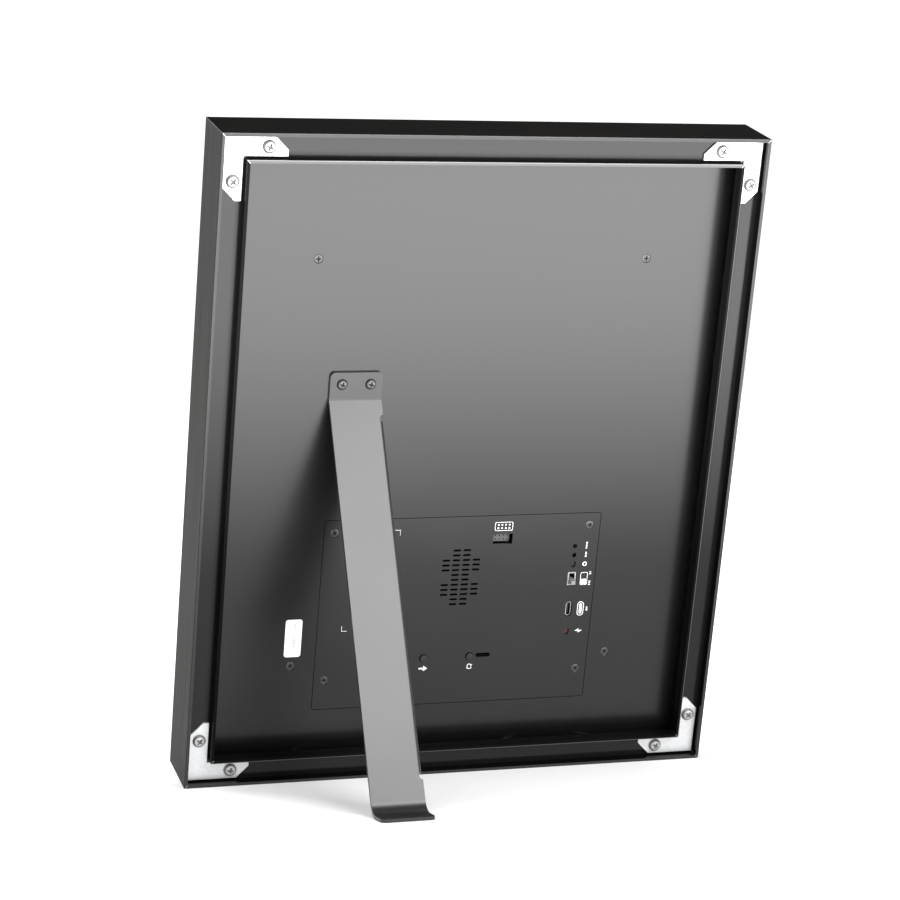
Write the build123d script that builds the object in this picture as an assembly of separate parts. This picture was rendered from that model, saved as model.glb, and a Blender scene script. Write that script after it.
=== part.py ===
from build123d import *
from math import cos, radians, sin
import os

# Digital photo frame on a bent strap stand. Millimetres, Z up, display towards -Y.
# Everything is built upright first: y is 0 on the front face and grows to the rear,
# x is across and z is up from the lower outer edge. The last step leans it back.

# frame
frame_width = 330.0
frame_height = 397.0
frame_depth = 40.0
lean_angle = 16.7
wall = 2.0
lip_width = 17.0
lip_thickness = 2.0
channel_width = 13.2
channel_depth = 6.5
channel_floor = 1.7
inner_wall = 1.9
edge_break = 0.3
mitre_gap = 0.06

# corner plates and their screws
plate_gap = 1.2
plate_leg = 36.5
plate_clip = 7.3
plate_thickness = 1.5
plate_screw_reach = 28.5
plate_screw_radius = 2.0
plate_screw_length = 6.0
plate_head_radius = 3.9
plate_head_height = 2.6

# glass, mat and display
pack_clearance = 0.75
glass_thickness = 2.0
mat_thickness = 1.5
picture_width = 202.8
picture_height = 270.4
display_width = 208.8
display_height = 284.7
display_thickness = 1.2
ribbon_room = 0.6
carrier_thickness = 4.0

# back panel
panel_face = 24.0
sheet = 1.5
panel_screw_spacing = 201.0
panel_screw_low = 69.1
panel_screw_drop = 76.2
post_radius = 3.5
small_screw_radius = 1.5
small_head_radius = 2.75
small_screw_length = 6.0
hole_clearance = 0.1

# springs that press the stack forwards
spring_length = 58.0
spring_width = 9.0
spring_thickness = 0.6
spring_offset = 8.5
spring_spread = 170.0

# access cover
cover_width = 174.0
cover_height = 121.0
cover_x = -1.7
cover_low = 40.0
cover_gap = 0.35
cover_corner = 1.5
cover_screw_side = 6.45
cover_screw_top = 7.85
cover_screw_bottom = 18.7
seat_overlap = 6.0
seat_tab_radius = 4.8

# controller board
board_side_gap = 11.5
board_lower_gap = 12.0
board_upper_gap = 10.0
board_thickness = 1.6
board_depth = 8.5
board_corner = 4.0
board_post_inset = 4.0
board_post_radius = 2.6
board_screw_radius = 1.2

# ports column: inwards from the cover's side, and down from its upper edge
port_inset = 14.7
reset_drop = 21.3
boot_drop = 27.2
status_drop = 33.1
switch_drop = 42.7
usb_drop = 62.6
charge_drop = 77.2
pin_hole_radius = 1.4
light_width = 2.9
light_height = 4.2
light_fit = 0.2
light_recess = 1.1

# tall stem switches behind the pin holes
stem_switch = 4.5
stem_switch_height = 3.5
stem_radius = 1.0
stem_recess = 1.8
stem_travel = 0.3

# power slide switch
switch_width = 5.2
switch_height = 8.6
switch_fit = 0.3
switch_rim = 0.8
switch_recess = 0.4
switch_travel = 3.0
switch_slot_depth = 6.0
knob_width = 2.8
knob_height = 2.6
knob_rise = 3.5

# charging port
usb_width = 3.26
usb_height = 8.94
usb_shell = 0.3
usb_fit = 0.45
usb_recess = 1.1
usb_tongue = 0.7

# pin socket
socket_offset = -25.2
socket_drop = 15.05
socket_pitch = 2.54
socket_columns = 4
socket_rows = 2
socket_recess = 3.3
socket_window_width = 12.4
socket_window_height = 6.4
socket_hole = 0.8

# push buttons
button_height = 30.0
next_offset = 18.8
refresh_offset = -10.6
button_radius = 2.3
button_gap = 0.4
button_rise = 1.2
button_flange_radius = 2.95
button_flange = 1.5
button_travel = 0.5
button_switch = 5.2
button_switch_height = 3.5
button_stem_radius = 1.5

# card slot
card_offset = -19.1
card_height = 30.6
card_slot_width = 9.2
card_slot_height = 2.6
card_body_width = 10.4
card_body_height = 4.4
card_entry = 1.1

# sound slots and speaker
slot_length = 4.8
slot_width = 1.3
slot_pitch_x = 6.35
slot_pitch_z = 3.155
slot_rows = 12
slot_drop = 38.85
speaker_width = 30.0
speaker_height = 42.0
speaker_depth = 5.0

# battery, chips and driver board
battery_width = 96.0
battery_height = 58.0
battery_depth = 8.0
battery_z = 206.0
lead_radius = 1.2
lead_offset = 23.7
module_offset = 35.7
module_width = 18.0
module_height = 26.0
chip_size = 14.0
driver_width = 70.0
driver_height = 24.0
driver_z = 29.0
ribbon_width = 32.0
ribbon_thickness = 0.3
ribbon_slot_z = 47.0

# blank label
label_width = 10.2
label_height = 24.0
label_thickness = 0.2
label_offset = 14.6
label_rise = 47.0

# stand leg
strap_width = 31.7
strap_thickness = 2.0
strap_x = 73.0
strap_top = 253.2
strap_corner = 3.0
strap_screw_z = 246.0
strap_screw_spacing = 17.2
strap_screw_radius = 2.0
strap_head_radius = 3.3
bend_z = 236.2
bend_radius = 3.0
leg_angle = 36.0
foot_length = 18.5
foot_radius = 10.0
foot_corner = 3.5
flange_start = 13.0
flange_end = 22.0
flange_depth = 6.0
flange_radius = 2.4
relief_radius = 1.8
backing_width = 44.0
backing_height = 20.0
backing_thickness = 2.5

# places that follow from the sizes above
pack_width = frame_width - 2 * wall - 2 * pack_clearance
pack_height = frame_height - 2 * wall - 2 * pack_clearance
middle_z = frame_height / 2
floor_face = frame_depth - channel_depth
floor_under = floor_face - channel_floor
channel_middle = wall + channel_width / 2
glass_face = lip_thickness
mat_face = glass_face + glass_thickness
carrier_face = mat_face + mat_thickness
carrier_back = carrier_face + carrier_thickness
pocket_depth = display_thickness + ribbon_room
panel_inside = panel_face - sheet
cover_z = cover_low + cover_height / 2
cover_top = cover_low + cover_height
board_face = panel_inside - board_depth
board_under = board_face - board_thickness
board_width = cover_width - 2 * board_side_gap
board_low = cover_low + board_lower_gap
board_high = cover_top - board_upper_gap
board_z = (board_low + board_high) / 2
port_x = cover_x - cover_width / 2 + port_inset
reset_z = cover_top - reset_drop
boot_z = cover_top - boot_drop
status_z = cover_top - status_drop
switch_z = cover_top - switch_drop
usb_z = cover_top - usb_drop
charge_z = cover_top - charge_drop
socket_x = cover_x + socket_offset
socket_z = cover_top - socket_drop
button_z = cover_low + button_height
next_x = cover_x + next_offset
refresh_x = cover_x + refresh_offset
card_x = cover_x + card_offset
card_z = cover_low + card_height
slot_middle_z = cover_top - slot_drop
lead_x = cover_x + lead_offset
label_x = cover_x + cover_width / 2 + label_offset
label_z = cover_low + label_rise
cover_screws = [
    (cover_x + side * (cover_width / 2 - cover_screw_side), height)
    for side in (-1, 1)
    for height in (cover_low + cover_screw_bottom, cover_top - cover_screw_top)
]
panel_screws = [
    (side * panel_screw_spacing / 2, height)
    for side in (-1, 1)
    for height in (panel_screw_low, frame_height - panel_screw_drop)
]
board_posts = [
    (cover_x + side * (board_width / 2 - board_post_inset), board_z + end * (board_high - board_low) / 2
     - end * board_post_inset)
    for side in (-1, 1)
    for end in (-1, 1)
]
strap_screws = [(strap_x + side * strap_screw_spacing / 2, strap_screw_z) for side in (-1, 1)]


def plate_screw_spots():
    """Centres of the corner-plate screws, two at each corner."""
    spots = []
    for side in (-1, 1):
        for end in (0, 1):
            near = frame_width / 2 - channel_middle
            far = frame_width / 2 - plate_screw_reach
            low = channel_middle if end == 0 else frame_height - channel_middle
            high = plate_screw_reach if end == 0 else frame_height - plate_screw_reach
            spots.append((side * far, low))
            spots.append((side * near, high))
    return spots


def block(x_range, y_range, z_range):
    size = [limit[1] - limit[0] for limit in (x_range, y_range, z_range)]
    middle = [(limit[0] + limit[1]) / 2 for limit in (x_range, y_range, z_range)]
    return Pos(*middle) * Box(*size)


def post(radius, front, back, x, z):
    """A round bar lying along Y."""
    return Pos(x, (front + back) / 2, z) * Rot(-90, 0, 0) * Cylinder(radius, back - front)


def slab(shape, front, back, x=0.0, z=0.0):
    """A flat shape in the XZ plane made thick from front to back."""
    plane = Plane(origin=(x, front, z), x_dir=(1, 0, 0), z_dir=(0, -1, 0))
    return extrude(plane * shape, amount=front - back)


def sink(small, large, face, x, z):
    """The cone of a countersunk head whose flat top lies on the face."""
    rise = large - small
    return Pos(x, face - rise / 2, z) * Rot(-90, 0, 0) * Cone(small, large, rise)


def cross_recess(reach, depth, face, x, z, turn):
    """The cross-shaped driver recess of a screw head."""
    width = reach * 0.42
    bars = Box(2 * reach, width, depth) + Box(width, 2 * reach, depth)
    tool = bars & Cone(reach * 0.45, reach, depth)
    return Pos(x, face - depth / 2, z) * Rot(0, turn, 0) * Rot(-90, 0, 0) * tool


def flat_screw(radius, head, length, face, x, z, turn):
    """A countersunk screw whose head lies flush in the face."""
    body = sink(radius, head, face, x, z)
    body += post(radius, face - length, face - (head - radius) / 2, x, z)
    return body - cross_recess(head * 0.55, head * 0.45, face, x, z, turn)


def pan_screw(radius, head, height, length, seat, x, z, turn):
    """A pan-head screw that stands on the seat."""
    cap = post(head, seat, seat + height, x, z)
    rim = cap.edges().filter_by(GeomType.CIRCLE).sort_by(Axis.Y)[-1]
    cap = fillet(rim, height * 0.6)
    cap += post(radius, seat - length, seat + height / 2, x, z)
    return cap - cross_recess(head * 0.56, height * 0.7, seat + height, x, z, turn)


def sunk_hole(radius, head, face, depth, x, z):
    """The clearance cut for a flush screw."""
    cut = post(radius + hole_clearance, face - depth, face + 1, x, z)
    return cut + sink(radius, head, face, x, z) + post(head, face, face + 1, x, z)


def group(pieces):
    """Several separate solids that share one node."""
    return Compound([solid for piece in pieces for solid in piece.solids()])


# frame rails


def rail_section():
    """Section of the extrusion: first number inwards from the outer edge, second to the rear."""
    inner = wall + channel_width
    return Polygon(
        (0, edge_break),
        (edge_break, 0),
        (lip_width, 0),
        (lip_width, lip_thickness),
        (wall, lip_thickness),
        (wall, floor_under),
        (inner + inner_wall, floor_under),
        (inner + inner_wall, frame_depth),
        (inner, frame_depth),
        (inner, floor_face),
        (wall, floor_face),
        (wall, frame_depth),
        (edge_break, frame_depth),
        (0, frame_depth - edge_break),
        align=None,
    )


def rail(length):
    """One rail lying along X on its outer face, with both ends mitred."""
    plane = Plane(origin=(-length / 2, 0, 0), x_dir=(0, 0, 1), z_dir=(-1, 0, 0))
    bar = extrude(plane * rail_section(), amount=-length)
    reach = lip_width + inner_wall + 10
    half = length / 2 - mitre_gap / 2
    ends = Polygon((-half, 0), (half, 0), (half - reach, reach), (reach - half, reach), align=None)
    return bar & slab(ends, -1, frame_depth + 1)


def frame_rails():
    across = rail(frame_width)
    upright = rail(frame_height)
    rails = {
        "frame_rail_bottom": across,
        "frame_rail_top": Pos(0, 0, frame_height) * Rot(0, 180, 0) * across,
        "frame_rail_left": Pos(-frame_width / 2, 0, middle_z) * Rot(0, 90, 0) * upright,
        "frame_rail_right": Pos(frame_width / 2, 0, middle_z) * Rot(0, -90, 0) * upright,
    }
    for name in rails:
        for x, z in plate_screw_spots():
            hole = post(plate_screw_radius + hole_clearance, floor_under - 1, floor_face + 1, x, z)
            rails[name] = rails[name] - hole
    return rails


def corner_plate():
    """L-shaped plate for the lower left corner, with the ends of its legs clipped."""
    near = wall + plate_gap
    far = near + plate_leg
    inner = wall + channel_width - plate_gap
    shape = Polygon(
        (near, near),
        (far - plate_clip, near),
        (far, near + plate_clip),
        (far, inner),
        (inner, inner),
        (inner, far),
        (near + plate_clip, far),
        (near, far - plate_clip),
        align=None,
    )
    return slab(shape, floor_face, floor_face + plate_thickness)


def corner_plates():
    half = frame_width / 2
    places = {
        "corner_plate_bottom_left": Pos(-half, 0, 0),
        "corner_plate_top_left": Pos(-half, 0, frame_height) * Rot(0, 90, 0),
        "corner_plate_top_right": Pos(half, 0, frame_height) * Rot(0, 180, 0),
        "corner_plate_bottom_right": Pos(half, 0, 0) * Rot(0, 270, 0),
    }
    plates = {}
    for name, place in places.items():
        plate = place * corner_plate()
        for x, z in plate_screw_spots():
            plate -= post(plate_screw_radius + hole_clearance, floor_face - 1, frame_depth, x, z)
        plates[name] = plate
    return plates


def corner_plate_screws():
    seat = floor_face + plate_thickness
    screws = []
    for count, (x, z) in enumerate(plate_screw_spots()):
        screws.append(
            pan_screw(
                plate_screw_radius, plate_head_radius, plate_head_height, plate_screw_length,
                seat, x, z, 23 * count,
            )
        )
    return group(screws)


# glass, mat and display


def glazing_pane():
    return slab(Rectangle(pack_width, pack_height), glass_face, mat_face, z=middle_z)


def mat_board():
    board = Rectangle(pack_width, pack_height) - Rectangle(picture_width, picture_height)
    return slab(board, mat_face, carrier_face, z=middle_z)


def display_panel():
    sheet_shape = Rectangle(display_width, display_height)
    return slab(sheet_shape, carrier_face, carrier_face + display_thickness, z=middle_z)


def display_carrier():
    board = slab(Rectangle(pack_width, pack_height), carrier_face, carrier_back, z=middle_z)
    pocket = Rectangle(display_width + 1, display_height + 1)
    board -= slab(pocket, carrier_face - 1, carrier_face + pocket_depth, z=middle_z)
    top = middle_z - display_height / 2 + 2
    low = ribbon_slot_z - 1.5
    half = ribbon_width / 2 + 1
    board -= block((cover_x - half, cover_x + half), (carrier_face - 1, carrier_face + pocket_depth), (low, top))
    board -= block((cover_x - half, cover_x + half), (carrier_face, carrier_back + 1), (low, low + 3))
    return board


def display_ribbon():
    """Flat ribbon from the back of the display, through the carrier, to the driver board."""
    near = carrier_face + display_thickness + ribbon_thickness / 2
    far = carrier_back + sheet + 1.5
    start = middle_z - display_height / 2 + 8
    end = driver_z + driver_height / 2 - 3
    path = FilletPolyline((near, start), (near, ribbon_slot_z), (far, ribbon_slot_z), (far, end), radius=0.9)
    strip = trace(path, line_width=ribbon_thickness)
    plane = Plane(origin=(cover_x - ribbon_width / 2, 0, 0), x_dir=(0, 1, 0), z_dir=(1, 0, 0))
    return extrude(plane * strip, amount=ribbon_width)


def driver_board():
    half = driver_width / 2
    low = driver_z - driver_height / 2
    high = driver_z + driver_height / 2
    board = block((cover_x - half, cover_x + half), (carrier_back, carrier_back + sheet), (low, high))
    clasp = ribbon_width / 2 + 2
    top = high - 3
    board += block((cover_x - clasp, cover_x + clasp), (carrier_back + sheet, carrier_back + sheet + 3), (top - 5, top))
    return board


def pressure_springs():
    """Bowed strips wedged between the back panel and the underside of the channel."""
    rise = floor_under - panel_face
    half = spring_length / 2
    skin = spring_thickness / 2
    bow = ThreePointArc((-half, panel_face + skin), (0, floor_under - skin - 0.1), (half, panel_face + skin))
    strip = trace(bow, line_width=spring_thickness)
    plane = Plane(origin=(0, 0, -spring_width / 2), x_dir=(1, 0, 0), z_dir=(0, 0, 1))
    spring = extrude(plane * strip, amount=spring_width)
    spring -= block((-half - 5, half + 5), (panel_face - rise, panel_face), (-spring_width, spring_width))
    springs = []
    for side in (-1, 1):
        along = side * spring_spread / 2
        inset = frame_width / 2 - spring_offset
        springs.append(Pos(along * 0.8, 0, spring_offset) * spring)
        springs.append(Pos(along * 0.8, 0, frame_height - spring_offset) * spring)
        springs.append(Pos(-inset, 0, middle_z + along) * Rot(0, 90, 0) * spring)
        springs.append(Pos(inset, 0, middle_z + along) * Rot(0, 90, 0) * spring)
    return group(springs)


# back panel and what is fixed to it


def back_panel():
    """Shallow steel tray, open to the front, with a window for the access cover."""
    tray = slab(Rectangle(pack_width, pack_height), carrier_back, panel_face, z=middle_z)
    hollow = Rectangle(pack_width - 2 * sheet, pack_height - 2 * sheet)
    tray -= slab(hollow, carrier_back - 1, panel_inside, z=middle_z)
    window = RectangleRounded(cover_width + 2 * cover_gap, cover_height + 2 * cover_gap, cover_corner + cover_gap)
    tray -= slab(window, panel_inside - 1, panel_face + 1, x=cover_x, z=cover_z)
    for x, z in panel_screws:
        tray -= sunk_hole(small_screw_radius, small_head_radius, panel_face, sheet + 1, x, z)
    for x, z in strap_screws:
        tray -= post(strap_screw_radius + hole_clearance, panel_inside - 1, panel_face + 1, x, z)
    return tray


def panel_posts():
    posts = []
    for x, z in panel_screws:
        bar = post(post_radius, carrier_back, panel_inside, x, z)
        drill = panel_face - small_screw_length - 1
        bar -= post(small_screw_radius + hole_clearance, drill, panel_inside + 1, x, z)
        bar -= sink(small_screw_radius, small_head_radius, panel_face, x, z)
        posts.append(bar)
    return group(posts)


def back_panel_screws():
    screws = []
    for count, (x, z) in enumerate(panel_screws):
        screws.append(
            flat_screw(small_screw_radius, small_head_radius, small_screw_length, panel_face, x, z, 31 * count)
        )
    return group(screws)


def cover_seat_ring():
    """Ring behind the window that carries the cover, with a tab behind each cover screw."""
    ring = Rectangle(cover_width + 2 * seat_overlap, cover_height + 2 * seat_overlap)
    ring -= Rectangle(cover_width - 2 * seat_overlap, cover_height - 2 * seat_overlap)
    seat = slab(ring, panel_inside - sheet, panel_inside, x=cover_x, z=cover_z)
    for x, z in cover_screws:
        seat += post(seat_tab_radius, panel_inside - sheet, panel_inside, x, z)
    for x, z in cover_screws:
        seat -= post(small_screw_radius + hole_clearance, panel_inside - sheet - 1, panel_inside + 1, x, z)
        seat -= sink(small_screw_radius, small_head_radius, panel_face, x, z)
    return seat


def access_cover():
    shape = RectangleRounded(cover_width, cover_height, cover_corner)
    cover = slab(shape, panel_inside, panel_face, x=cover_x, z=cover_z)
    cuts = cover_openings() + sound_slots()
    for x, z in cover_screws:
        cuts.append(sunk_hole(small_screw_radius, small_head_radius, panel_face, sheet + 1, x, z))
    for cut in cuts:
        cover -= cut
    return cover


def through(shape, x, z):
    return slab(shape, panel_inside - 1, panel_face + 1, x=x, z=z)


def cover_openings():
    """Every opening of the access cover apart from the sound slots and screw holes."""
    light = Rot(0, 0, 90) * SlotOverall(light_height, light_width)
    usb = Rot(0, 0, 90) * SlotOverall(usb_height + 2 * usb_fit, usb_width + 2 * usb_fit)
    cuts = [
        through(Circle(pin_hole_radius), port_x, reset_z),
        through(Circle(pin_hole_radius), port_x, boot_z),
        through(light, port_x, status_z),
        through(light, port_x, charge_z),
        through(Rectangle(switch_width + 2 * switch_fit, switch_height + 2 * switch_fit), port_x, switch_z),
        through(usb, port_x, usb_z),
        through(Rectangle(socket_window_width, socket_window_height), socket_x, socket_z),
        through(SlotOverall(card_slot_width, card_slot_height), card_x, card_z),
    ]
    for x in (next_x, refresh_x):
        cuts.append(through(Circle(button_radius + button_gap), x, button_z))
    return cuts


def sound_slots():
    """Two full middle columns and two shorter groups of three on each side."""
    slot = SlotOverall(slot_length, slot_width)
    cuts = []
    for row in range(slot_rows):
        height = slot_middle_z + (slot_rows / 2 - row - 0.5) * slot_pitch_z
        columns = [-0.5, 0.5]
        if 2 <= row <= 4 or slot_rows - 5 <= row <= slot_rows - 3:
            columns = [-1.5, -0.5, 0.5, 1.5]
        for column in columns:
            cuts.append(through(slot, cover_x + column * slot_pitch_x, height))
    return cuts


def access_cover_screws():
    screws = []
    for count, (x, z) in enumerate(cover_screws):
        screws.append(
            flat_screw(small_screw_radius, small_head_radius, small_screw_length, panel_face, x, z, 40 * count)
        )
    return group(screws)


def blank_label():
    shape = RectangleRounded(label_width, label_height, 1.6)
    return slab(shape, panel_face, panel_face + label_thickness, x=label_x, z=label_z)


# controller board and what stands on it


def controller_board():
    width = board_width
    shape = chamfer(Rectangle(width, board_high - board_low).vertices(), board_corner)
    board = slab(shape, board_under, board_face, x=cover_x, z=board_z)
    for x, z in board_posts:
        board -= post(board_screw_radius + hole_clearance, board_under - 1, board_face + 1, x, z)
    return board


def board_standoffs():
    posts = []
    for x, z in board_posts:
        bar = post(board_post_radius, board_face, panel_inside, x, z)
        bar -= post(board_screw_radius + hole_clearance, board_face - 1, board_face + 5, x, z)
        posts.append(bar)
    return group(posts)


def board_screws():
    """Small pan-head screws from the front side of the board into the standoffs."""
    screws = []
    for x, z in board_posts:
        head = post(board_screw_radius * 1.9, board_under - 1.4, board_under, x, z)
        head += post(board_screw_radius, board_under - 0.5, board_face + 4, x, z)
        head -= Pos(x, board_under - 1.4, z) * Rot(90, 0, 0) * Box(0.5, 2.6, 1.2)
        screws.append(head)
    return group(screws)


def usb_c_port():
    """Upright receptacle: a plastic foot, a steel shell and the contact tongue."""
    end = panel_face - usb_recess
    outline = Rot(0, 0, 90) * SlotOverall(usb_height, usb_width)
    bore = Rot(0, 0, 90) * SlotOverall(usb_height - 2 * usb_shell, usb_width - 2 * usb_shell)
    shell = slab(outline, board_face, end, x=port_x, z=usb_z)
    shell -= slab(bore, board_face + 2, end + 1, x=port_x, z=usb_z)
    tongue = slab(Rectangle(usb_tongue, usb_height - 2.2), board_face + 2, end - 1.2, x=port_x, z=usb_z)
    return shell + tongue


def pin_socket():
    top = panel_face - socket_recess
    shape = Rectangle(socket_columns * socket_pitch, socket_rows * socket_pitch)
    body = slab(shape, board_face, top, x=socket_x, z=socket_z)
    for column in range(socket_columns):
        for row in range(socket_rows):
            x = socket_x + (column - (socket_columns - 1) / 2) * socket_pitch
            z = socket_z + (row - (socket_rows - 1) / 2) * socket_pitch
            body -= slab(Rectangle(socket_hole, socket_hole), board_face + 1, top + 1, x=x, z=z)
    return body


def power_switch_body():
    top = panel_face - switch_recess
    body = slab(Rectangle(switch_width, switch_height), board_face, top, x=port_x, z=switch_z)
    slot = Rectangle(switch_width - 2 * switch_rim, switch_height - 2 * switch_rim)
    return body - slab(slot, top - switch_slot_depth, top + 1, x=port_x, z=switch_z)


def power_switch_knob():
    """Knob drawn at the lower end of its travel."""
    bottom = panel_face - switch_recess - switch_slot_depth + 0.4
    z = switch_z - switch_travel / 2
    knob = slab(Rectangle(knob_width, knob_height), bottom, panel_face + knob_rise, x=port_x, z=z)
    tip = knob.edges().group_by(Axis.Y)[-1]
    return fillet(tip, 0.35)


def button_cap(x):
    """Push-button cap with a flange behind the cover and a socket for the switch stem."""
    flange_back = panel_inside - 0.35
    flange_front = flange_back - button_flange
    cap = post(button_flange_radius, flange_front, flange_back, x, button_z)
    cap += post(button_radius, flange_front, panel_face + button_rise, x, button_z)
    rim = cap.edges().filter_by(GeomType.CIRCLE).sort_by(Axis.Y)[-1]
    cap = fillet(rim, 0.4)
    return cap - post(button_stem_radius + 0.05, flange_front - 1, flange_back, x, button_z)


def button_stem(x):
    flange_back = panel_inside - 0.35
    return post(button_stem_radius, board_face + 1.8, flange_back, x, button_z)


def button_switch_body(x):
    half = button_switch / 2
    height = board_face + button_switch_height
    body = block((x - half, x + half), (board_face, height), (button_z - half, button_z + half))
    return body - post(button_stem_radius + 0.35, board_face + 0.8, height + 1, x, button_z)


def stem_switch_body(z):
    half = stem_switch / 2
    height = board_face + stem_switch_height
    body = block((port_x - half, port_x + half), (board_face, height), (z - half, z + half))
    return body - post(stem_radius + 0.35, board_face + 0.8, height + 1, port_x, z)


def stem_plunger(z):
    bar = post(stem_radius, board_face + 1.5, panel_face - stem_recess, port_x, z)
    rim = bar.edges().filter_by(GeomType.CIRCLE).sort_by(Axis.Y)[-1]
    return fillet(rim, 0.25)


def light_pipe(z):
    shape = Rot(0, 0, 90) * SlotOverall(light_height - 2 * light_fit, light_width - 2 * light_fit)
    return slab(shape, board_face + 1, panel_face - light_recess, x=port_x, z=z)


def indicator_lights():
    chips = []
    for z in (status_z, charge_z):
        chips.append(block((port_x - 0.8, port_x + 0.8), (board_face, board_face + 1), (z - 1, z + 1)))
    return group(chips)


def card_socket():
    """Upright card socket behind the card slot, with a narrow entry."""
    shape = Rectangle(card_body_width, card_body_height)
    body = slab(shape, board_face, panel_inside - 0.4, x=card_x, z=card_z)
    entry = Rectangle(card_slot_width, card_entry)
    return body - slab(entry, board_face + 1.2, panel_inside + 1, x=card_x, z=card_z)


def speaker():
    """Flat speaker held against the inside of the cover."""
    shape = RectangleRounded(speaker_width, speaker_height, 8)
    front = panel_inside - speaker_depth
    body = slab(shape, front, panel_inside, x=cover_x, z=slot_middle_z)
    mouth = RectangleRounded(speaker_width - 3, speaker_height - 3, 6.5)
    body -= slab(mouth, panel_inside - 2, panel_inside + 1, x=cover_x, z=slot_middle_z)
    return body


def wireless_module():
    left = cover_x + module_offset
    low = board_high - module_height - 13
    width = module_width
    foot = block((left, left + width), (board_face, board_face + 0.8), (low, low + module_height))
    can = block((left + 1, left + width - 1), (board_face + 0.8, board_face + 3.2), (low + 1, low + 19))
    return foot + can


def processor_chip():
    left = cover_x + module_offset
    high = board_high - module_height - 25
    return block((left, left + chip_size), (board_face, board_face + 1.4), (high - chip_size, high))


def battery_pack():
    half = battery_width / 2
    low = battery_z - battery_height / 2
    pack = block((cover_x - half, cover_x + half), (carrier_back, carrier_back + battery_depth), (low, low + battery_height))
    ends = pack.edges().filter_by(Axis.Z)
    return fillet(ends, battery_depth * 0.35)


def battery_connector():
    return block((lead_x - 4, lead_x + 4), (board_face, board_face + 5), (board_high - 14, board_high - 6))


def battery_lead():
    """Twin lead from the lower end of the battery to its connector."""
    low = battery_z - battery_height / 2
    start = (lead_x, carrier_back + battery_depth / 2, low)
    down = (lead_x, carrier_back + battery_depth / 2, low - 12)
    turn = (lead_x, board_face + 2.5, board_high + 4)
    end = (lead_x, board_face + 2.5, board_high - 6)
    path = FilletPolyline(start, down, turn, end, radius=8)
    section = Plane(origin=start, z_dir=(0, 0, -1)) * Circle(lead_radius)
    return sweep(section, path=path)


# stand leg


def rise_of_floor():
    """How far the lowest line of the bottom rail lies above its ideal sharp corner."""
    return edge_break * min(sin(radians(lean_angle)), cos(radians(lean_angle)))


def leg_points():
    """Middle line of the strap in the YZ plane: top, bend, floor corner and toe."""
    lean = radians(lean_angle)
    spread = radians(leg_angle)
    skin = strap_thickness / 2
    bend = (panel_face + skin, bend_z)
    above = bend[1] * cos(lean) - (bend[0] - frame_depth) * sin(lean) - rise_of_floor() - skin
    length = above / cos(spread - lean)
    corner = (bend[0] + length * sin(spread), bend[1] - length * cos(spread))
    toe = (corner[0] + foot_length * cos(lean), corner[1] + foot_length * sin(lean))
    return (panel_face + skin, strap_top), bend, corner, toe


def across_strap(shape, low, high):
    plane = Plane(origin=(low, 0, 0), x_dir=(0, 1, 0), z_dir=(1, 0, 0))
    return extrude(plane * shape, amount=high - low)


def leg_frame():
    """Plane on the middle of the leg at the bend: x across, y down the leg, z to the rear."""
    top, bend, corner, toe = leg_points()
    spread = radians(leg_angle)
    down = Vector(0, sin(spread), -cos(spread))
    return Plane(origin=(strap_x, bend[0], bend[1]), x_dir=(1, 0, 0), z_dir=Vector(1, 0, 0).cross(down))


def stand_leg():
    """One-piece strap: top plate, leg with a folded flange on one edge, and a foot."""
    top, bend, corner, toe = leg_points()
    path = FilletPolyline(top, bend, corner, toe, radius=[bend_radius, foot_radius])
    low = strap_x - strap_width / 2
    high = strap_x + strap_width / 2
    strap = across_strap(trace(path, line_width=strap_thickness), low, high)
    strap = round_ends(strap)
    strap -= flange_room()
    strap += flange()
    for x, z in strap_screws:
        strap -= sunk_hole(strap_screw_radius, strap_head_radius, panel_face + strap_thickness, 4, x, z)
    return strap


def round_ends(strap):
    """Rounds the two corners of the top plate and of the foot."""
    ends = strap.edges().filter_by(lambda edge: abs(edge.length - strap_thickness) < 0.01)
    ends = ends.filter_by(lambda edge: edge.geom_type == GeomType.LINE)
    upper = ends.sort_by(Axis.Z)[-2:]
    strap = fillet(upper, strap_corner)
    ends = strap.edges().filter_by(lambda edge: abs(edge.length - strap_thickness) < 0.01)
    ends = ends.filter_by(lambda edge: edge.geom_type == GeomType.LINE)
    outer = ends.sort_by(Axis.Y)[-2:]
    return fillet(outer, foot_corner)


def flange_span():
    top, bend, corner, toe = leg_points()
    length = ((corner[0] - bend[0]) ** 2 + (corner[1] - bend[1]) ** 2) ** 0.5
    return flange_start, length - flange_end


def flange_room():
    """Takes the edge of the leg away where the flange is folded, with a round relief at each end."""
    begin, end = flange_span()
    side = -strap_width / 2
    tall = 2 * strap_thickness
    cut = Pos(side, (begin + end) / 2, 0) * Box(2 * flange_radius, end - begin, tall)
    for place in (begin - relief_radius * 0.6, end + relief_radius * 0.6):
        cut += Pos(side, place, 0) * Cylinder(relief_radius * 1.15, tall)
    return leg_frame().location * cut


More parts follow.
